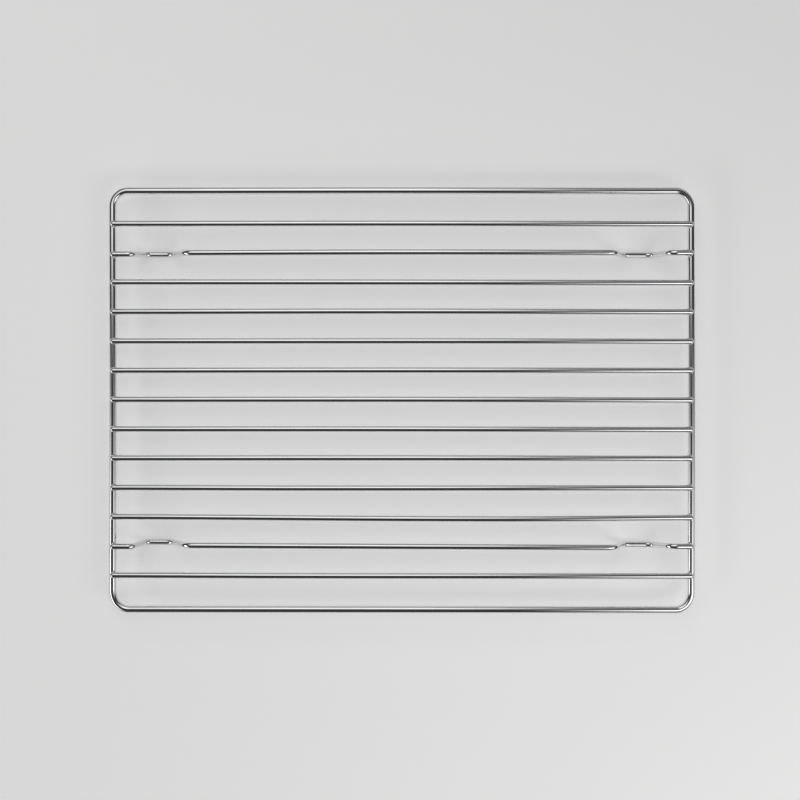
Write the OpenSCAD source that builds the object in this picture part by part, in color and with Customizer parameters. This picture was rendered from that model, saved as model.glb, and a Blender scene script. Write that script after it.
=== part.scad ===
// Roasting rack: a chrome-plated wire grid. A closed ring of thicker wire carries thirteen
// parallel cross wires, welded on top of its two short sides. The second wire from each long
// side is bent down near both ends into U-shaped feet. Units are millimetres.
// X runs along the cross wires, Y from front to back and Z up; the feet stand on Z = 0.

/* [Frame ring] */
// Length of the ring over its wire, left to right
rack_l = 380; // [330:1:430]
// Width of the ring over its wire, front to back
rack_w = 278; // [240:1:320]
// Thickness of the ring's wire
frame_d = 4.8; // [4.4:0.1:5.6]
// Bend radius of the ring's corners, at the middle of the wire
corner_r = 10; // [8:0.5:16]

/* [Cross wires] */
// Thickness of the cross wires
wire_d = 4; // [3.4:0.1:4.2]
// Number of cross wires, the two with feet included
wire_count = 13; // [9:1:15]
// Distance from the ring's front edge to the middle of the first cross wire
front_margin = 25.4; // [20:0.1:32]
// Distance from the ring's back edge to the middle of the last cross wire
rear_margin = 24.6; // [20:0.1:32]
// Distance from the ring's outer edge to the end of a cross wire
end_inset = 0.4; // [0.2:0.05:0.8]
// Radius of the rounding at the end of a cross wire
end_round = 1.6; // [0.6:0.1:1.6]

/* [Welds] */
// Depth that welding presses a cross wire into the ring
set_down = 0.7; // [0.4:0.05:1]
// Thickness of the metal that welding squeezes out, round the wire and up from the ring
weld_flash = 0.35; // [0.15:0.05:0.5]

/* [Feet] */
// Drop from a foot wire's straight stretch to the flat of its feet
foot_drop = 15; // [11:0.5:24]
// Distance from the ring's outer edge to a foot's outer knee
foot_inset = 15.5; // [12:0.5:30]
// Length of a foot's flat, knee to knee
foot_flat = 18; // [14:0.5:30]
// Sideways run of the left foot's outer leg
left_outer_run = 5.5; // [4:0.5:16]
// Sideways run of the left foot's inner leg
left_inner_run = 10.5; // [4:0.5:16]
// Sideways run of the right foot's outer leg
right_outer_run = 11.5; // [4:0.5:16]
// Sideways run of the right foot's inner leg
right_inner_run = 8; // [4:0.5:16]
// Bend radius of the feet's knees, at the middle of the wire
knee_r = 5; // [4:0.5:6]

/* [Hidden] */
$fn = 64;
bend_swell = 0.02;
bend_lap = 0.15;
wire_z = foot_drop + wire_d / 2 + bend_swell;
frame_z = wire_z - wire_d / 2 - frame_d / 2 + set_down;
side_x = rack_l / 2 - frame_d / 2;
side_y = rack_w / 2 - frame_d / 2;
wire_end = rack_l / 2 - end_inset;
pitch = (rack_w - front_margin - rear_margin) / (wire_count - 1);
foot_rows = [1, wire_count - 2];
plain_rows = [for (row = [0:wire_count - 1]) if (row != foot_rows[0] && row != foot_rows[1]) row];
knee_x = rack_l / 2 - foot_inset;

// The foot wire's middle line, knee to knee from left to right, as [x, z] from the straight stretch
left_flat_x = -knee_x + left_outer_run;
right_flat_x = knee_x - right_outer_run;
foot_line = [
    [-wire_end, 0],
    [-knee_x, 0],
    [left_flat_x, -foot_drop],
    [left_flat_x + foot_flat, -foot_drop],
    [left_flat_x + foot_flat + left_inner_run, 0],
    [right_flat_x - foot_flat - right_inner_run, 0],
    [right_flat_x - foot_flat, -foot_drop],
    [right_flat_x, -foot_drop],
    [knee_x, 0],
    [wire_end, 0]
];

function row_y(row) = -rack_w / 2 + front_margin + row * pitch;
function plain_name(k) = str("cross_wire_", k < 9 ? "0" : "", k + 1);

// Heading of the middle line's stretch that starts at point i, in degrees above +X
function heading(line, i) = atan2(line[i + 1][1] - line[i][1], line[i + 1][0] - line[i][0]);
// Turn of the middle line at point i, in degrees, positive upwards; none at its two ends
function turn(line, i) =
    i == 0 || i == len(line) - 1 ? 0 : heading(line, i) - heading(line, i - 1);
// Length that the bend at point i takes from the stretch on each side of it
function bend_take(line, i, r) = r * tan(abs(turn(line, i)) / 2);

// Half section of a round wire of length l, drawn for turning round its own middle line,
// with both ends rounded
module rounded_half_section(l) {
    r = wire_d / 2;
    translate([0, -l / 2 + end_round]) square([r, l - 2 * end_round]);
    translate([0, -l / 2]) square([r - end_round, l]);
    for (side = [0, 1])
        mirror([0, side])
            translate([r - end_round, l / 2 - end_round])
                intersection() {
                    circle(r = end_round);
                    square(end_round);
                }
}

// A straight cross wire with rounded ends, its middle line on the X axis
module straight_rod() {
    rotate([0, 90, 0])
        rotate_extrude()
            rounded_half_section(2 * wire_end);
}

// The part of a straight rod between its left end and x, or between x and its right end
module rod_end(x) {
    reach = wire_end + wire_d;
    intersection() {
        straight_rod();
        if (x < 0)
            translate([-reach, -wire_d, -wire_d]) cube([reach + x, 2 * wire_d, 2 * wire_d]);
        else
            translate([x, -wire_d, -wire_d]) cube([reach - x, 2 * wire_d, 2 * wire_d]);
    }
}

// Straight stretch of the wire that follows a middle line, from point i to the next. It runs
// a little way into the bends at its ends, which take it up whole
module stretch(line, i, r) {
    from = bend_take(line, i, r) - bend_lap;
    to = bend_take(line, i + 1, r) - bend_lap;
    run = norm(line[i + 1] - line[i]);
    a = heading(line, i);
    translate([line[i][0] + from * cos(a), 0, line[i][1] + from * sin(a)])
        rotate([0, 90 - a, 0])
            cylinder(h = run - from - to, d = wire_d);
}

// Round bend of the wire that follows a middle line, at point i. Bending swells it by a hair
module bend(line, i, r) {
    side = sign(turn(line, i));
    a = heading(line, i - 1);
    take = bend_take(line, i, r);
    start = [line[i][0] - take * cos(a), line[i][1] - take * sin(a)];
    middle = start + side * r * [-sin(a), cos(a)];
    first = side > 0 ? a - 90 : a + 90 + turn(line, i);
    translate([middle[0], 0, middle[1]])
        rotate([90, 0, 0])
            rotate([0, 0, first])
                rotate_extrude(angle = abs(turn(line, i)))
                    translate([r, 0]) circle(d = wire_d + 2 * bend_swell);
}

// Metal squeezed out round a weld: a thin lip that hugs both the cross wire and the ring
module weld_lip() {
    across = frame_d + 2 * weld_flash;
    intersection() {
        translate([side_x - across, 0, wire_z])
            rotate([0, 90, 0])
                cylinder(h = wire_end - weld_flash - side_x + across, d = wire_d + 2 * weld_flash);
        translate([side_x, across, frame_z])
            rotate([90, 0, 0])
                cylinder(h = 2 * across, d = across);
    }
}

// One straight side of the ring, along Y
module ring_side() {
    straight = rack_w - frame_d - 2 * corner_r;
    translate([side_x, straight / 2, frame_z])
        rotate([90, 0, 0])
            cylinder(h = straight, d = frame_d);
}

// Shapes a cross wire, drawn along the X axis, into one that is welded down on the ring at y
module welded_at(y) {
    difference() {
        translate([0, y, 0]) {
            translate([0, 0, wire_z]) children();
            for (side = [0, 1]) mirror([side, 0]) weld_lip();
        }
        for (side = [0, 1]) mirror([side, 0]) ring_side();
    }
}

// The closed outer ring: four straight sides and four round corners
module outer_frame() {
    color([0.8, 0.81, 0.82]) {
        for (side = [0, 1]) {
            mirror([side, 0]) ring_side();
            mirror([0, side])
                translate([-side_x + corner_r, side_y, frame_z])
                    rotate([0, 90, 0])
                        cylinder(h = 2 * (side_x - corner_r), d = frame_d);
        }
        for (left = [0, 1], front = [0, 1])
            mirror([left, 0])
                mirror([0, front])
                    translate([side_x - corner_r, side_y - corner_r, frame_z])
                        rotate_extrude(angle = 90)
                            translate([corner_r, 0]) circle(d = frame_d);
    }
}

// A plain cross wire in the given row
module cross_wire(row) {
    color([0.84, 0.85, 0.86])
        welded_at(row_y(row))
            straight_rod();
}

// A cross wire with a foot bent into each end, in the given row
module foot_wire(row) {
    last = len(foot_line) - 1;
    color([0.84, 0.85, 0.86])
        welded_at(row_y(row)) {
            rod_end(-knee_x - bend_take(foot_line, 1, knee_r) + bend_lap);
            rod_end(knee_x + bend_take(foot_line, last - 1, knee_r) - bend_lap);
            for (i = [1:last - 2]) stretch(foot_line, i, knee_r);
            for (i = [1:last - 1]) bend(foot_line, i, knee_r);
        }
}

outer_frame();
foot_wire(foot_rows[0]);  // front_foot_wire
foot_wire(foot_rows[1]);  // rear_foot_wire
for (k = [0:len(plain_rows) - 1])
    cross_wire(plain_rows[k]);
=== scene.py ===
"""Roasting rack: a chrome-plated welded wire grid on four bent feet, seen from straight above.

The rack is one ring of thick wire, eleven straight cross wires and two foot wires, which are
cross wires bent down into U-shaped feet. Every wire here is a swept tube that follows the line
of its CAD solid, with the rounded ends, weld fillets and slight bows of the real wire. The
working unit of the sizes is the millimetre, and meshes are written in metres.
"""

from __future__ import annotations

import logging
import math
from dataclasses import dataclass, field
from enum import Enum
from typing import Iterable, Sequence

import bpy
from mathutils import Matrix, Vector

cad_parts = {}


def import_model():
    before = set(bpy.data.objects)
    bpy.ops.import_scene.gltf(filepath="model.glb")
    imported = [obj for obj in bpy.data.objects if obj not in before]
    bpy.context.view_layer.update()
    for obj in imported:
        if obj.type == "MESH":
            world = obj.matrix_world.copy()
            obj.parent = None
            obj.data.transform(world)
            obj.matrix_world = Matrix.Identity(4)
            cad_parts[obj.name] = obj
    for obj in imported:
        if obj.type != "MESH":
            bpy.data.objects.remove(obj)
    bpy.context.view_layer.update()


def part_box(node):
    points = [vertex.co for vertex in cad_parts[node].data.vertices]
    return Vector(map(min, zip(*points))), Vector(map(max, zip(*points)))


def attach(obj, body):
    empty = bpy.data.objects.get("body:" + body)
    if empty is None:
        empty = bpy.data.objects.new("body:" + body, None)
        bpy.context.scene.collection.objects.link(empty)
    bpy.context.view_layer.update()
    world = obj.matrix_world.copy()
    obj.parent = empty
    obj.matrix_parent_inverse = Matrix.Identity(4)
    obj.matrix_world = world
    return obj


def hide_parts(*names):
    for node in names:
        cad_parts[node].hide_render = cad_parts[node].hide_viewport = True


MM = 0.001
TINY = 1e-6
BODY = "root"
LOG = logging.getLogger("roasting_rack")

# Places of the Mix node's colour sockets
MIX_FACTOR, MIX_FIRST, MIX_SECOND, MIX_RESULT = 0, 6, 7, 2
# Signs of X and Y at the rear right, rear left, front left and front right corner
QUARTERS = ((1, 1), (-1, 1), (-1, -1), (1, -1))

Colour = tuple[float, float, float, float]
Point = tuple[float, float, float]
Pair = tuple[float, float]


class Slot(Enum):
    """The record's material slots."""

    RING = "ring_wire"
    CROSS = "cross_wire"


class End(Enum):
    """The two ends of a cross wire."""

    LEFT = -1
    RIGHT = 1


class Value:
    """A shader socket that takes part in Python arithmetic."""

    def __init__(self, graph: Graph, socket: bpy.types.NodeSocket) -> None:
        """Wraps a socket.

        Args:
            graph: The graph that the socket's node is in.
            socket: An output socket.
        """
        self.graph = graph
        self.socket = socket

    def _math(self, operation: str, first: Value | float, second: Value | float) -> Value:
        """Adds a Math node.

        Args:
            operation: The Math node's operation.
            first: Its first input.
            second: Its second input.

        Returns:
            The node's result.
        """
        return self.graph.node("ShaderNodeMath", {"operation": operation}, {0: first, 1: second})

    def __add__(self, other: Value | float) -> Value:
        """Adds."""
        return self._math("ADD", self, other)

    def __radd__(self, other: float) -> Value:
        """Adds to a number."""
        return self._math("ADD", other, self)

    def __sub__(self, other: Value | float) -> Value:
        """Subtracts."""
        return self._math("SUBTRACT", self, other)

    def __rsub__(self, other: float) -> Value:
        """Subtracts from a number."""
        return self._math("SUBTRACT", other, self)

    def __mul__(self, other: Value | float) -> Value:
        """Multiplies."""
        return self._math("MULTIPLY", self, other)

    def __rmul__(self, other: float) -> Value:
        """Multiplies a number."""
        return self._math("MULTIPLY", other, self)

    def larger(self, other: Value | float) -> Value:
        """Takes the larger of two values."""
        return self._math("MAXIMUM", self, other)

    def smaller(self, other: Value | float) -> Value:
        """Takes the smaller of two values."""
        return self._math("MINIMUM", self, other)

    def ramp(self, low: float, high: float) -> Value:
        """Rises smoothly from 0 at low to 1 at high.

        Args:
            low: The value at which the result leaves 0.
            high: The value at which the result reaches 1.

        Returns:
            The smooth step.
        """
        return self.graph.node(
            "ShaderNodeMapRange",
            {"interpolation_type": "SMOOTHSTEP"},
            {"Value": self, "From Min": low, "From Max": high},
        )


class Graph:
    """A material's or world's node tree, written as expressions."""

    def __init__(self, tree: bpy.types.NodeTree) -> None:
        """Empties the tree.

        Args:
            tree: The node tree to fill.
        """
        self.tree = tree
        tree.nodes.clear()

    def node(
        self,
        kind: str,
        settings: dict[str, object] | None = None,
        inputs: dict[int | str, object] | None = None,
        output: int | str = 0,
    ) -> Value:
        """Adds a node, sets it and joins it up.

        Args:
            kind: The node's type.
            settings: Attributes of the node, which are set first.
            inputs: Values or links of its sockets, by name or place.
            output: The output socket to return, by name or place.

        Returns:
            The chosen output, wrapped, or the node's first input where it has no output.
        """
        made = self.tree.nodes.new(kind)
        for name, value in (settings or {}).items():
            setattr(made, name, value)
        for key, value in (inputs or {}).items():
            socket = made.inputs[key]
            if isinstance(value, Value):
                self.tree.links.new(value.socket, socket)
            else:
                socket.default_value = value
        return Value(self, made.outputs[output] if made.outputs else made.inputs[0])

    def attribute(self, name: str, output: str = "Fac") -> Value:
        """Reads a mesh attribute."""
        return self.node("ShaderNodeAttribute", {"attribute_name": name}, output=output)

    def stretched(self, vector: Value, scale: Point) -> Value:
        """Scales a vector along each axis by itself."""
        return self.node("ShaderNodeVectorMath", {"operation": "MULTIPLY"}, {0: vector, 1: scale})

    def noise(self, vector: Value, scale: float, detail: float = 2.0) -> Value:
        """Smooth noise from 0 to 1."""
        inputs = {"Vector": vector, "Scale": scale, "Detail": detail}
        return self.node("ShaderNodeTexNoise", {}, inputs)

    def blend(self, amount: Value | float, first: object, second: object) -> Value:
        """Mixes two colours.

        Args:
            amount: The share of the second colour.
            first: The colour at 0.
            second: The colour at 1.

        Returns:
            The mixed colour.
        """
        inputs = {MIX_FACTOR: amount, MIX_FIRST: first, MIX_SECOND: second}
        return self.node("ShaderNodeMix", {"data_type": "RGBA"}, inputs, MIX_RESULT)


@dataclass(frozen=True)
class ChromePlate:
    """Bright chrome plate on drawn steel wire.

    Depths are in millimetres. Clouds are faint dull patches, die lines run along the wire, and
    peel and pits are the plate's own grain. A stretch scales the place on the wire before its
    noise is read, and a range is where that noise starts and stops to show.
    """

    name: str
    tone: Colour = (0.78, 0.783, 0.787, 1.0)
    shade: Colour = (0.71, 0.714, 0.722, 1.0)
    roughness: float = 0.07
    haze: float = 0.05
    line_haze: float = 0.03
    weld_haze: float = 0.16
    dull_shade: float = 0.5
    weld_shade: float = 0.35
    dull_range: Pair = (0.42, 0.68)
    line_range: Pair = (0.5, 0.75)
    die_line_depth: float = 0.0005
    peel_depth: float = 0.0015
    pit_depth: float = 0.0045
    cloud_stretch: Point = (0.06, 0.6, 0.6)
    die_stretch: Point = (0.02, 9.0, 9.0)
    peel_scale: float = 1.6
    pit_scale: float = 5.0

    def material(self) -> bpy.types.Material:
        """Builds the plate's material.

        It reads two attributes that every tube carries: "drawn", the place on the wire as if
        it lay straight, in millimetres, and "weld", which is 1 at a weld and 0 away from it.

        Returns:
            The new material.
        """
        made = bpy.data.materials.new(self.name)
        made.use_nodes = True
        graph = Graph(made.node_tree)
        place = graph.attribute("drawn", "Vector")
        weld = graph.attribute("weld")
        clouds = graph.noise(graph.stretched(place, self.cloud_stretch), 1.0, detail=3.0)
        die_lines = graph.noise(graph.stretched(place, self.die_stretch), 1.0)
        peel = graph.noise(place, self.peel_scale)
        pits = graph.noise(place, self.pit_scale, detail=3.0)
        dull = clouds.ramp(*self.dull_range)
        lined = die_lines.ramp(*self.line_range)
        worn = dull * self.dull_shade + weld * self.weld_shade
        colour = graph.blend(worn, self.tone, self.shade)
        rough = self.roughness + dull * self.haze + lined * self.line_haze
        rough = rough + weld * pits * self.weld_haze
        height = die_lines * self.die_line_depth + peel * self.peel_depth
        height = height + weld * pits * self.pit_depth
        bump = graph.node(
            "ShaderNodeBump", {}, {"Strength": 1.0, "Distance": MM, "Height": height}, "Normal"
        )
        shader = graph.node(
            "ShaderNodeBsdfPrincipled",
            {},
            {"Base Color": colour, "Roughness": rough, "Metallic": 1.0, "Normal": bump},
        )
        graph.node("ShaderNodeOutputMaterial", {}, {"Surface": shader})
        return made


@dataclass(frozen=True)
class FloorPaint:
    """Matt pale paint of the floor, with a lift that only the camera and the metal see.

    The lift changes evenly across the middle of the floor, which paints a soft pool of light on
    it, brighter towards the front right and dimmer towards the rear right. Its slope gives how
    much the painted light grows for a metre towards +X, for a metre towards +Y, and for a square
    metre of X times Y.
    """

    name: str = "floor_paint"
    colour: Colour = (0.80, 0.80, 0.795, 1.0)
    lift: float = 0.32
    # painted light: how fast the painted pool of light on the floor grows towards +X, +Y and X
    # times Y
    painted_light_slope: tuple[float, float, float] = (0.01, -0.155, -0.28)
    sloped_to: float = 0.3

    def material(self) -> bpy.types.Material:
        """Builds the floor's material.

        Returns:
            The new material.
        """
        made = bpy.data.materials.new(self.name)
        made.use_nodes = True
        graph = Graph(made.node_tree)
        paint = graph.node("ShaderNodeBsdfDiffuse", {}, {"Color": self.colour})
        seen = graph.node("ShaderNodeLightPath", output="Is Camera Ray")
        mirrored = graph.node("ShaderNodeLightPath", output="Is Glossy Ray")
        through = graph.node("ShaderNodeLightPath", output="Is Transmission Ray")
        place = graph.node("ShaderNodeNewGeometry", output="Position")
        x, y = (
            graph.node("ShaderNodeSeparateXYZ", {}, {0: place}, axis)
            .larger(-self.sloped_to)
            .smaller(self.sloped_to)
            for axis in "XY"
        )
        # painted light: the even lift plus a painted gradient of light, brighter towards the
        # front right
        level = self.lift + x * self.painted_light_slope[0] + y * self.painted_light_slope[1] + x * y * self.painted_light_slope[2]
        lift = (seen + mirrored + through).smaller(1.0) * level
        glow = graph.node("ShaderNodeEmission", {}, {"Color": lift, "Strength": 1.0})
        both = graph.node("ShaderNodeAddShader", {}, {0: paint, 1: glow})
        graph.node("ShaderNodeOutputMaterial", {}, {"Surface": both})
        return made


@dataclass(frozen=True)
class PanelGlow:
    """The glow of a light panel, soft towards its edges.

    The feathers are the widths over which the glow fades in at the panel's low X, high X,
    low Y and high Y edges, as shares of its size.
    """

    name: str
    strength: float
    feathers: tuple[float, float, float, float]

    def material(self) -> bpy.types.Material:
        """Builds the panel's material.

        Returns:
            The new material.
        """
        made = bpy.data.materials.new(self.name)
        made.use_nodes = True
        graph = Graph(made.node_tree)
        place = graph.node("ShaderNodeTexCoord", output="Generated")
        across = graph.node("ShaderNodeSeparateXYZ", {}, {0: place}, "X")
        deep = graph.node("ShaderNodeSeparateXYZ", {}, {0: place}, "Y")
        low_x, high_x, low_y, high_y = self.feathers
        glow = across.ramp(0.0, low_x) * (1.0 - across).ramp(0.0, high_x)
        glow = glow * deep.ramp(0.0, low_y) * (1.0 - deep).ramp(0.0, high_y)
        shine = graph.node("ShaderNodeEmission", {}, {"Color": glow, "Strength": self.strength})
        clear = graph.node("ShaderNodeBsdfTransparent")
        both = graph.node("ShaderNodeAddShader", {}, {0: shine, 1: clear})
        graph.node("ShaderNodeOutputMaterial", {}, {"Surface": both})
        return made


@dataclass
class Tube:
    """A round wire swept along a line.

    The line runs through stations. Each station has a point, a direction, a radius and the
    length of wire before it. The upright direction is square to the whole line, so the
    sections never twist.
    """

    name: str
    upright: Vector
    sides: int = 48
    closed: bool = False
    points: list[Vector] = field(default_factory=list)
    headings: list[Vector] = field(default_factory=list)
    radii: list[float] = field(default_factory=list)
    lengths: list[float] = field(default_factory=list)

    def add(self, point: Vector, heading: Vector, radius: float) -> None:
        """Adds a station.

        Args:
            point: The middle of the wire, in millimetres.
            heading: The direction in which the wire runs on.
            radius: The section's radius, in millimetres.
        """
        gone = 0.0
        if self.points:
            gone = self.lengths[-1] + (point - self.points[-1]).length
        self.points.append(point)
        self.headings.append(heading.normalized())
        self.radii.append(radius)
        self.lengths.append(gone)

    def mesh(self, welds: Sequence[Weld] = ()) -> bpy.types.Mesh:
        """Builds the tube's mesh, in metres, flared into a fillet at each weld.

        Args:
            welds: The welds that the wire is part of.

        Returns:
            A closed mesh with the attributes that the plate's material reads.
        """
        vertices: list[Vector] = []
        drawn: list[Point] = []
        heat: list[float] = []
        stations = zip(self.points, self.headings, self.radii, self.lengths)
        for point, heading, radius, gone in stations:
            side = self.upright.cross(heading).normalized()
            rise = heading.cross(side)
            for k in range(self.sides):
                angle = 2 * math.pi * k / self.sides
                outward = side * math.cos(angle) + rise * math.sin(angle)
                spot = point + outward * radius
                near = 0.0
                for weld in welds:
                    near = max(near, weld.nearness(spot))
                    spot = weld.flare(spot, point)
                vertices.append(spot * MM)
                drawn.append((gone, radius * math.cos(angle), radius * math.sin(angle)))
                heat.append(near)
        faces = self._skin(len(self.points))
        if not self.closed:
            faces += self._caps(len(self.points))
        made = bpy.data.meshes.new(self.name)
        made.from_pydata(vertices, [], faces)
        made.shade_smooth()
        place = made.attributes.new("drawn", "FLOAT_VECTOR", "POINT")
        place.data.foreach_set("vector", [x for spot in drawn for x in spot])
        mark = made.attributes.new("weld", "FLOAT", "POINT")
        mark.data.foreach_set("value", heat)
        made.validate()
        return made

    def _skin(self, stations: int) -> list[tuple[int, ...]]:
        """Joins each station's section to the next one's.

        Args:
            stations: The number of stations.

        Returns:
            The quads, as places in the list of vertices.
        """
        last = stations if self.closed else stations - 1
        quads = []
        for i in range(last):
            here, there = i * self.sides, (i + 1) % stations * self.sides
            for k in range(self.sides):
                on = (k + 1) % self.sides
                quads.append((here + k, here + on, there + on, there + k))
        return quads

    def _caps(self, stations: int) -> list[tuple[int, ...]]:
        """Closes an open tube's two ends with flat faces.

        Args:
            stations: The number of stations.

        Returns:
            The two faces, as places in the list of vertices.
        """
        first = tuple(reversed(range(self.sides)))
        last = tuple((stations - 1) * self.sides + k for k in range(self.sides))
        return [first, last]


@dataclass(frozen=True)
class Weld:
    """A resistance weld where a cross wire lies on one side of the ring.

    Sizes are in millimetres. The fillet is the metal squeezed out between the two wires.
    """

    x: float
    y: float
    ring_z: float
    ring_radius: float
    fillet: float = 0.5
    reach: float = 1.1
    glow: float = 3.0

    def _gap(self, spot: Vector) -> float:
        """The distance from a point to the ring's surface."""
        return math.hypot(spot.x - self.x, spot.z - self.ring_z) - self.ring_radius

    def nearness(self, spot: Vector) -> float:
        """How near a point is to the weld.

        Args:
            spot: The point.

        Returns:
            A share from 1 on the weld to 0 beyond its glow.
        """
        if abs(spot.x - self.x) > self.ring_radius + self.glow:
            return 0.0
        return max(0.0, 1.0 - max(0.0, self._gap(spot)) / self.glow) ** 2

    def flare(self, spot: Vector, middle: Vector) -> Vector:
        """Pushes a point of the cross wire's skin out into the fillet.

        Args:
            spot: The point on the skin.
            middle: The middle of the wire at that station.

        Returns:
            The point in its new place.
        """
        if abs(spot.x - self.x) > self.ring_radius + self.reach:
            return spot
        share = 1.0 - min(1.0, max(0.0, self._gap(spot)) / self.reach)
        outward = Vector((0.0, spot.y - middle.y, 0.0))
        if outward.length < TINY:
            return spot
        return spot + outward.normalized() * self.fillet * share**2 * min(1.0, outward.length)


@dataclass(frozen=True)
class Bow:
    """How a cross wire strays sideways from the straight line that it was meant to follow.

    Depth is how far its middle strays towards +Y, peak is where along X, lean is how much
    further towards +Y the wire's right end lies than its left one, and shift is how far the
    whole wire lies towards +Y. All are in millimetres.
    """

    depth: float = 0.0
    peak: float = 0.0
    lean: float = 0.0
    shift: float = 0.0

    def at(self, x: float, reach: float) -> float:
        """How far the wire strays towards +Y.

        Args:
            x: The place along the wire.
            reach: Half of the wire's length.

        Returns:
            The offset. Depth adds nothing to it at the wire's two ends.
        """
        run = reach + self.peak if x < self.peak else reach - self.peak
        share = abs(x - self.peak) / run
        return self.shift + self.depth * (1.0 - share * share) ** 2 + self.lean * x / (2 * reach)


def piece(
    name: str, mesh: bpy.types.Mesh, finish: bpy.types.Material, node: str
) -> bpy.types.Object:
    """Puts a finished wire into the scene in place of its CAD node.

    Args:
        name: The piece's name.
        mesh: Its mesh.
        finish: Its material.
        node: The CAD node that it stands for.

    Returns:
        The new object.
    """
    made = bpy.data.objects.new(name, mesh)
    made.data.materials.append(finish)
    bpy.context.scene.collection.objects.link(made)
    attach(made, BODY)
    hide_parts(node)
    LOG.info("%s: %d faces", name, len(mesh.polygons))
    return made


def spaced(first: float, last: float, step: float) -> list[float]:
    """Even places from first to last, both included, no further apart than step."""
    count = max(1, math.ceil(abs(last - first) / step - TINY))
    return [first + (last - first) * k / count for k in range(count + 1)]


def between(x: float, knots: Sequence[Pair]) -> float:
    """Interpolates evenly between knots.

    Args:
        x: The place.
        knots: Places in rising order, each with its value.

    Returns:
        The value at the place, and beyond the knots the nearest one's.
    """
    if x <= knots[0][0]:
        return knots[0][1]
    for (low, first), (high, last) in zip(knots, knots[1:]):
        if x <= high:
            return first + (last - first) * (x - low) / (high - low)
    return knots[-1][1]


@dataclass
class OuterFrame:
    """The closed ring of thick wire that carries the cross wires on its short sides.

    Corners give how far each bend reaches along X and along Y at the middle of the wire, for
    the rear right, rear left, front left and front right one. Spread is how far the two short
    sides lie outside their meant place, and pulls how far the long ones lie inside theirs at
    each corner, in the same order. Bulges are how much further out the middle of the rear,
    left, front and right side lies than its ends.
    """

    node: str = "outer_frame"
    corners: tuple[Pair, ...] = ((10.0, 11.0), (10.0, 10.0), (10.5, 12.5), (10.0, 12.0))
    spread: float = 0.2
    pulls: tuple[float, ...] = (0.8, 0.7, 0.95, 0.6)
    bulges: tuple[float, ...] = (0.22, -0.2, 0.0, 0.3)
    step: float = 2.0
    turn_step: float = 6.0
    sides: int = 56

    def __post_init__(self) -> None:
        """Takes the ring's sizes from its CAD solid."""
        low, high = (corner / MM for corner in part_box(self.node))
        self.radius = (high.z - low.z) / 2
        self.z = (high.z + low.z) / 2
        self.side_x = high.x - self.radius + self.spread
        self.side_y = high.y - self.radius

    def bend(self, quarter: int) -> list[tuple[Vector, Vector]]:
        """Rounds one corner.

        Args:
            quarter: The corner's place in the order of corners.

        Returns:
            Points of the wire's middle line with their headings, anticlockwise from above.
        """
        sign_x, sign_y = QUARTERS[quarter]
        reach_x, reach_y = self.corners[quarter]
        run_y = self.side_y - self.pulls[quarter] - reach_y
        middle = Vector((sign_x * (self.side_x - reach_x), sign_y * run_y, self.z))
        stations = []
        for turn in spaced(90.0 * quarter, 90.0 * (quarter + 1), self.turn_step):
            across, up = math.cos(math.radians(turn)), math.sin(math.radians(turn))
            outward = Vector((reach_x * across, reach_y * up, 0))
            heading = Vector((-reach_x * up, reach_y * across, 0)).normalized()
            stations.append((middle + outward, heading))
        return stations

    def build(self, plate: ChromePlate) -> None:
        """Sweeps the ring and dresses it.

        Args:
            plate: The finish of the wire.
        """
        above = Vector((0, 0, 1))
        tube = Tube("ring_wire", above, sides=self.sides, closed=True)
        bends = [self.bend(quarter) for quarter in range(len(QUARTERS))]
        for bend, following, bulge in zip(bends, bends[1:] + bends[:1], self.bulges):
            for point, heading in bend:
                tube.add(point, heading, self.radius)
            start, end = bend[-1][0], following[0][0]
            heading = (end - start).normalized()
            length = (end - start).length
            for gone in spaced(0.0, length, self.step)[1:-1]:
                share = 2 * gone / length - 1
                outward = heading.cross(above) * bulge * (1 - share**2) ** 2
                tube.add(start + heading * gone + outward, heading, self.radius)
        piece("ring_wire", tube.mesh(), plate.material(), self.node)


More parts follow.
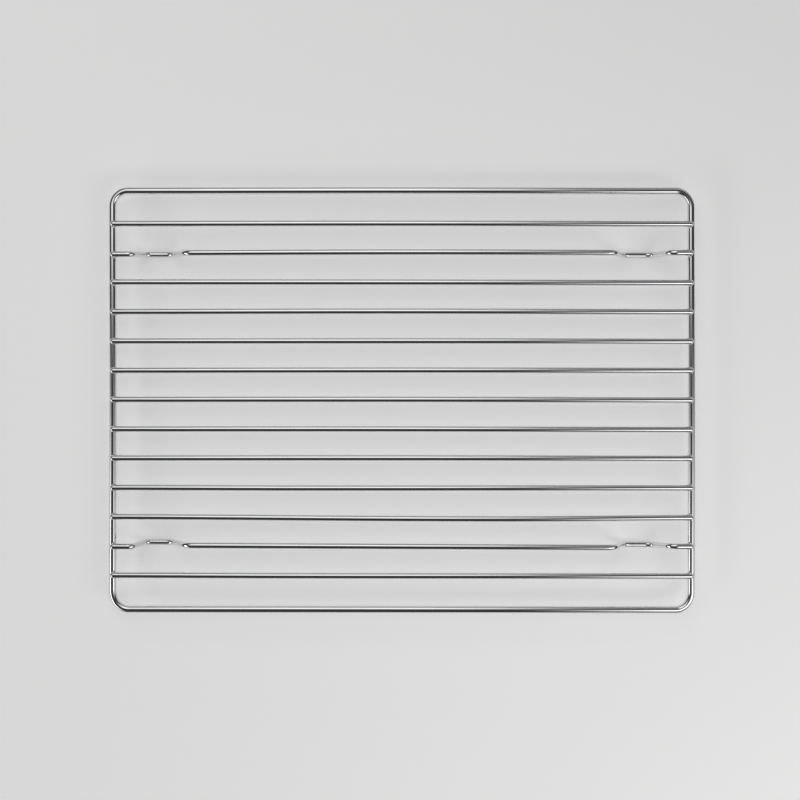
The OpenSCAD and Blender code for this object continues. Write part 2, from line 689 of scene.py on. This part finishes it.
@dataclass
class CrossWire:
    """A straight cross wire with rounded ends, welded down on the ring's two short sides."""

    name: str
    node: str
    ring: OuterFrame
    radius: float = 2.0
    end_round: float = 1.9
    end_inset: float = 1.6
    bow: Bow = Bow()
    weld_margin: float = 3.0
    fine_step: float = 0.35
    coarse_step: float = 4.0
    dome_turn: float = 11.25

    def __post_init__(self) -> None:
        """Takes the wire's place from its CAD solid."""
        low, high = (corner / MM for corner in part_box(self.node))
        self.y = (low.y + high.y) / 2
        self.z = high.z - self.radius
        self.reach = self.ring.side_x + self.ring.radius - self.end_inset

    def welds(self) -> list[Weld]:
        """Places a weld at each end of the wire.

        Returns:
            The two welds, the left one first.
        """
        ring = self.ring
        places = [end.value * ring.side_x for end in End]
        return [Weld(x, self._at(x, 0.0).y, ring.z, ring.radius) for x in places]

    def line(self) -> list[Pair]:
        """Lays out the wire's middle line, with close points where it is welded.

        Returns:
            Places along X, each with its height from the wire's straight height.
        """
        dense = self.ring.side_x - self.ring.radius - self.weld_margin
        outer = spaced(self.reach - self.end_round, dense, self.fine_step)
        middle = spaced(dense, -dense, self.coarse_step)
        run = outer + middle[1:-1] + [-x for x in reversed(outer)]
        return [(x, 0.0) for x in reversed(run)]

    def end_section(self, depth: float) -> float:
        """The radius of the wire's section at a depth from its end.

        Args:
            depth: The distance from the wire's end, in millimetres.

        Returns:
            The section's radius, in millimetres.
        """
        rise = self.end_round - min(depth, self.end_round)
        return self.radius - self.end_round + math.sqrt(self.end_round**2 - rise**2)

    def tube(self) -> Tube:
        """Sweeps the wire along its line.

        Returns:
            The tube, with a domed end on each side.
        """
        made = Tube(self.name, Vector((0, 1, 0)))
        turns = spaced(0.0, 90.0, self.dome_turn)
        dome = [self.end_round * (1 - math.cos(math.radians(turn))) for turn in turns]
        straight = Vector((1, 0, 0))
        for depth in dome[:-1]:
            x = -self.reach + depth
            made.add(self._at(x, 0.0), straight, self.end_section(depth))
        run = self.line()
        for i, (x, z) in enumerate(run):
            before, after = run[max(i - 1, 0)], run[min(i + 1, len(run) - 1)]
            heading = Vector((after[0] - before[0], 0, after[1] - before[1]))
            made.add(self._at(x, z), heading, self.radius)
        for depth in reversed(dome[:-1]):
            x = self.reach - depth
            made.add(self._at(x, 0.0), straight, self.end_section(depth))
        return made

    def _at(self, x: float, z: float) -> Vector:
        """The middle of the wire at a place along X, with its bow."""
        return Vector((x, self.y + self.bow.at(x, self.reach), self.z + z))

    def build(self, finish: bpy.types.Material) -> None:
        """Sweeps the wire and dresses it.

        Args:
            finish: The wire's material.
        """
        piece(self.name, self.tube().mesh(self.welds()), finish, self.node)


@dataclass
class FootWire(CrossWire):
    """A cross wire bent down into a U-shaped foot near each end.

    A foot's knees are places along X, from left to right: the top of its left leg, the left
    and right end of its flat, and the top of its right leg. Each knee has its own radius.
    Skews give how far the left stub, left flat, right flat and right stub stray towards +Y.
    """

    left_foot: tuple[float, ...] = (-174.5, -169.0, -150.0, -140.0)
    right_foot: tuple[float, ...] = (138.0, 145.0, 164.5, 174.0)
    knee_radii: tuple[float, ...] = (4.5, 6.5, 9.0, 8.0, 7.0, 6.5, 8.0, 8.0)
    skews: tuple[float, float, float, float] = (0.0, 0.0, 0.0, 0.0)
    turn_step: float = 5.0
    short_run: float = 16.0
    long_step: float = 3.0

    def __post_init__(self) -> None:
        """Takes the wire's place and its feet's drop from its CAD solid."""
        super().__post_init__()
        low, _ = (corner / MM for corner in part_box(self.node))
        self.drop = self.z - self.radius - low.z

    def _at(self, x: float, z: float) -> Vector:
        """The middle of the wire, with its bow and its feet's skews.

        Args:
            x: The place along the wire.
            z: The height from the wire's straight height.

        Returns:
            The point in the frame, in millimetres.
        """
        left_stub, left_flat, right_flat, right_stub = self.skews
        knots = list(zip(self.left_foot, (left_stub, left_flat, left_flat, 0.0)))
        knots += list(zip(self.right_foot, (0.0, right_flat, right_flat, right_stub)))
        spot = super()._at(x, z)
        spot.y += between(x, knots)
        return spot

    def line(self) -> list[Pair]:
        """Lays out the wire's middle line, down through each foot and up again.

        Returns:
            Places along X, each with its height from the wire's straight height.
        """
        start = -self.reach + self.end_round
        heights = (0.0, -self.drop, -self.drop, 0.0)
        knees = [(start, 0.0)]
        knees += list(zip(self.left_foot, heights)) + list(zip(self.right_foot, heights))
        knees.append((-start, 0.0))
        run = [knees[0]]
        for i, radius in enumerate(self.knee_radii, 1):
            arc = self._bend(knees[i - 1], knees[i], knees[i + 1], radius)
            run += self._straight(run[-1], arc[0]) + arc
        run += self._straight(run[-1], knees[-1]) + [knees[-1]]
        return run

    def _straight(self, first: Pair, last: Pair) -> list[Pair]:
        """Evenly spaced points between two points of the line.

        Args:
            first: The point before them.
            last: The point after them.

        Returns:
            The points, close together on a short stretch.
        """
        length = math.dist(first, last)
        step = self.fine_step if length < self.short_run else self.long_step
        run, rise = last[0] - first[0], last[1] - first[1]
        shares = spaced(0.0, 1.0, step / length)[1:-1]
        return [(first[0] + run * share, first[1] + rise * share) for share in shares]

    def _bend(
        self,
        before: Pair,
        knee: Pair,
        after: Pair,
        radius: float,
    ) -> list[Pair]:
        """Rounds one knee.

        Args:
            before: The point before the knee.
            knee: The knee's own point, where the two straight stretches would meet.
            after: The point after the knee.
            radius: The bend's radius at the middle of the wire.

        Returns:
            Points along the arc, its two ends included.
        """
        heading_in = math.atan2(knee[1] - before[1], knee[0] - before[0])
        heading_out = math.atan2(after[1] - knee[1], after[0] - knee[0])
        turn = heading_out - heading_in
        side = math.copysign(1.0, turn)
        take = radius * math.tan(abs(turn) / 2)
        start = (knee[0] - take * math.cos(heading_in), knee[1] - take * math.sin(heading_in))
        middle = (
            start[0] - side * radius * math.sin(heading_in),
            start[1] + side * radius * math.cos(heading_in),
        )
        arc = []
        for degrees in spaced(0.0, math.degrees(abs(turn)), self.turn_step):
            heading = heading_in + side * math.radians(degrees)
            across = side * radius * math.sin(heading)
            down = side * radius * math.cos(heading)
            arc.append((middle[0] + across, middle[1] - down))
        return arc


@dataclass
class Rack:
    """The whole rack."""

    plain_bows: tuple[Bow, ...] = (
        Bow(-0.25, -60.0, -0.6, 0.35),
        Bow(-1.05, 55.0, -0.65, 0.1),
        Bow(-0.3, -60.0, -0.2, 0.15),
        Bow(0.15, 0.0, -0.2, 0.22),
        Bow(0.15, 0.0, -0.36, -0.1),
        Bow(0.2, 0.0, -0.3, -0.04),
        Bow(0.15, 0.0, 0.04, -0.05),
        Bow(0.15, 40.0, -0.15, -0.17),
        Bow(0.36, 0.0, -0.07, -0.16),
        Bow(0.1, 0.0, -0.4, -0.18),
        Bow(0.26, 0.0, -0.13, -0.32),
    )
    front_foot_bow: Bow = Bow(0.0, 0.0, -1.75, 0.17)
    rear_foot_bow: Bow = Bow(0.45, 0.0, 0.3, -0.1)
    front_skews: tuple[float, float, float, float] = (-0.85, 0.1, 0.0, 0.9)
    rear_skews: tuple[float, float, float, float] = (-0.75, 0.3, -0.3, 0.0)

    def build(self) -> None:
        """Builds the ring, the plain cross wires and the two foot wires."""
        ring = OuterFrame()
        ring.build(ChromePlate("ring_chrome"))
        finish = ChromePlate("cross_wire_chrome").material()
        for k, bow in enumerate(self.plain_bows, 1):
            CrossWire(f"grid_wire_{k:02d}", f"cross_wire_{k:02d}", ring, bow=bow).build(finish)
        for name, node, bow, skews in (
            ("foot_wire_front", "front_foot_wire", self.front_foot_bow, self.front_skews),
            ("foot_wire_rear", "rear_foot_wire", self.rear_foot_bow, self.rear_skews),
        ):
            FootWire(name, node, ring, bow=bow, skews=skews).build(finish)


@dataclass
class Camera:
    """The camera straight above the rack. Sizes are in millimetres, the frame's in pixels."""

    x: float = 8.5
    y: float = 19.6
    height: float = 803.6
    focal_pixels: float = 1217.0
    frame_pixels: float = 800.0
    middle_x: float = 415.0
    middle_y: float = 370.0
    sensor: float = 36.0
    near: float = 10.0
    far: float = 20000.0

    def place(self) -> None:
        """Makes the camera and hands it to the scene."""
        made = bpy.data.cameras.new("camera")
        made.sensor_width = self.sensor
        made.lens = self.focal_pixels / self.frame_pixels * self.sensor
        made.shift_x = 0.5 - self.middle_x / self.frame_pixels
        made.shift_y = self.middle_y / self.frame_pixels - 0.5
        made.clip_start, made.clip_end = self.near * MM, self.far * MM
        camera = bpy.data.objects.new("camera", made)
        camera.location = Vector((self.x, self.y, self.height)) * MM
        bpy.context.scene.collection.objects.link(camera)
        bpy.context.scene.camera = camera
        LOG.info("camera: %.1f mm lens at %.0f mm", made.lens, self.height)


@dataclass
class LightPanel:
    """A flat soft light over the rack, given by its corners in millimetres."""

    name: str
    low: Pair
    high: Pair
    height: float
    glow: PanelGlow

    def hang(self) -> None:
        """Makes the panel, unseen by the camera itself."""
        (x0, y0), (x1, y1) = self.low, self.high
        outline = [(x0, y0), (x0, y1), (x1, y1), (x1, y0)]
        spots = [Vector((x, y, self.height)) * MM for x, y in outline]
        mesh = bpy.data.meshes.new(self.name)
        mesh.from_pydata(spots, [], [(0, 1, 2, 3)])
        mesh.materials.append(self.glow.material())
        made = bpy.data.objects.new(self.name, mesh)
        made.visible_camera = False
        made.visible_shadow = False
        bpy.context.scene.collection.objects.link(made)
        LOG.info("%s: %d face", self.name, len(mesh.polygons))


@dataclass
class Studio:
    """The pale floor, the dim room and the soft lights."""

    floor_size: float = 8000.0
    room: float = 0.045
    backdrop: float = 0.6

    def panels(self) -> list[LightPanel]:
        """Lists the light panels, which add up where one hangs over another.

        Returns:
            The panels, the lowest first.
        """
        return [
            LightPanel(
                "rear_light", (-1195, -24), (365, 3745), 1000.0,
                PanelGlow("rear_glow", 1.2, (0.62, 0.23, 0.095, 0.945)),
            ),
            LightPanel(
                "right_light", (161, -1193), (2500, 181), 1004.0,
                PanelGlow("right_glow", 2.4, (0.144, 0.45, 0.23, 0.71)),
            ),
            LightPanel(
                "left_light", (-3076, -3036), (-1119, 191), 1008.0,
                PanelGlow("left_glow", 2.6, (0.39, 0.163, 0.31, 0.215)),
            ),
            LightPanel(
                "low_light", (97, 1044), (4490, 2283), 1012.0,
                PanelGlow("low_glow", 1.5, (0.025, 0.36, 0.376, 0.977)),
            ),
        ]

    def build(self) -> None:
        """Lays the floor, dims the room and hangs the lights."""
        half = self.floor_size / 2 * MM
        mesh = bpy.data.meshes.new("floor")
        spots = [(-half, -half, 0), (half, -half, 0), (half, half, 0), (-half, half, 0)]
        mesh.from_pydata(spots, [], [(0, 1, 2, 3)])
        mesh.materials.append(FloorPaint().material())
        floor = bpy.data.objects.new("floor", mesh)
        bpy.context.scene.collection.objects.link(floor)
        world = bpy.data.worlds.new("room")
        world.use_nodes = True
        graph = Graph(world.node_tree)
        seen = graph.node("ShaderNodeLightPath", output="Is Camera Ray")
        level = seen * self.backdrop + self.room
        dim = graph.node("ShaderNodeBackground", {}, {"Color": level, "Strength": 1.0})
        graph.node("ShaderNodeOutputWorld", {}, {"Surface": dim})
        bpy.context.scene.world = world
        for panel in self.panels():
            panel.hang()


def corners(box: Iterable[Vector]) -> list[list[float]]:
    """A box's two corners as plain lists."""
    return [list(corner) for corner in box]


def main() -> None:
    """Builds the scene round the fixed frame."""
    logging.basicConfig(level=logging.INFO, format="%(name)s: %(message)s")
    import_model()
    Camera().place()
    Rack().build()
    Studio().build()
    bpy.context.scene.view_settings.view_transform = "Standard"


if __name__ == "__main__":
    main()
